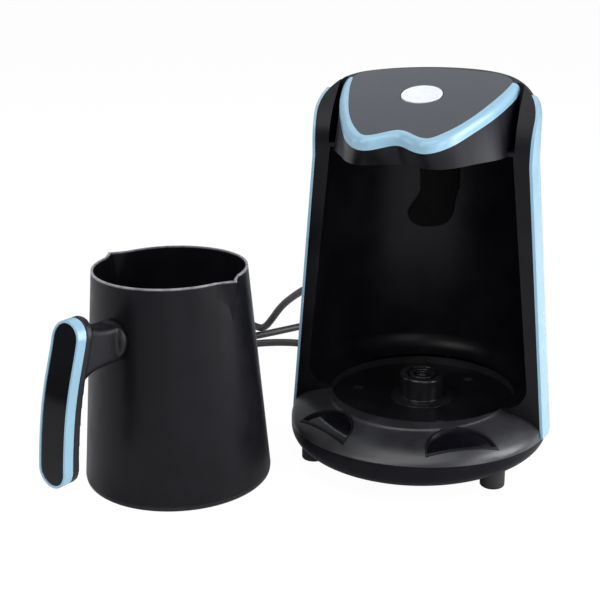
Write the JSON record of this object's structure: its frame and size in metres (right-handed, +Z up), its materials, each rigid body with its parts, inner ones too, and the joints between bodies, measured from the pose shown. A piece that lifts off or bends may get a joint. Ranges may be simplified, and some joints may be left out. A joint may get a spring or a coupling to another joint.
{
  "type": "electric turkish coffee maker",
  "caption": "Turkish coffee brewing machine with an arched docking space, sloping control head and push button, its cordless jug standing beside it, and a mains lead with plug.",
  "frame": {"origin": "on the table, under the middle of the box round the machine and its pot, without the lead", "axes": "+Z up, -Y is the machine's front, +X is the right hand of somebody facing the front"},
  "size_m": [0.3162, 0.3473, 0.2085],
  "materials": {
    "rubber": "matte",
    "black_plastic": "satin",
    "black_satin": "satin",
    "dark_gloss": "gloss",
    "blue_plastic": "gloss",
    "button_silver": "satin",
    "steel": "satin",
    "brass": "polished",
    "nickel": "polished",
    "circuit_board": "satin",
    "relay_case": "gloss",
    "aluminium_can": "satin",
    "transformer_core": "satin",
    "white_nylon": "satin",
    "cable_rubber": "matte",
    "tie_plastic": "satin",
    "pot_coating": "satin",
    "aluminium_plate": "satin"
  },
  "bodies": {
    "machine": {"rubber_feet": "rubber", "base_bowl": "black_plastic", "bottom_cover": "black_plastic", "cover_screws": "steel", "base_screws": "steel", "deck": "black_plastic", "deck_window_left": "dark_gloss", "deck_window_right": "dark_gloss", "deck_window_rims": "black_satin", "well_plate": "black_plastic", "well_screws": "steel", "coupling_post": "black_satin", "coupling_contacts": "brass", "coupling_nut": "black_plastic", "front_shell": "black_satin", "back_housing": "black_plastic", "top_cap": "black_satin", "side_panel_left": "blue_plastic", "side_panel_right": "blue_plastic", "head_shell": "black_satin", "head_trim": "blue_plastic", "top_panel": "dark_gloss", "head_screws": "steel", "control_board": "circuit_board", "board_screws": "steel", "tact_switch": "black_plastic", "buzzer": "black_plastic", "sensor_hood": "black_plastic", "sensor_lens": "dark_gloss", "power_board": "circuit_board", "relay": "relay_case", "capacitor": "aluminium_can", "transformer": "transformer_core", "terminal_block": "white_nylon", "wiring_loom": "cable_rubber", "strain_relief": "cable_rubber", "cord_tube": "cable_rubber", "cord_coil": "cable_rubber", "cord_tie": "tie_plastic", "plug_body": "cable_rubber", "plug_pins": "nickel"},
    "pot": {"pot_body": "pot_coating", "pot_cap": "black_plastic", "pot_socket": "black_plastic", "socket_contacts": "brass", "socket_screws": "steel", "hot_plate": "aluminium_plate", "heating_element": "steel", "handle_body": "black_plastic", "handle_trim": "blue_plastic", "handle_insert": "dark_gloss"},
    "button": {"power_button": "button_silver"}
  },
  "joints": [
    {"name": "pot_lift", "type": "slide", "parent": "machine", "child": "pot", "axis": [0, 0, 1], "range_m": [0, 0.2]},
    {"name": "button_press", "type": "slide", "parent": "machine", "child": "button", "axis": [0, 0.2756, -0.9613], "range_m": [0, 0.0012], "stiffness_N_per_m": 1500}
  ]
}
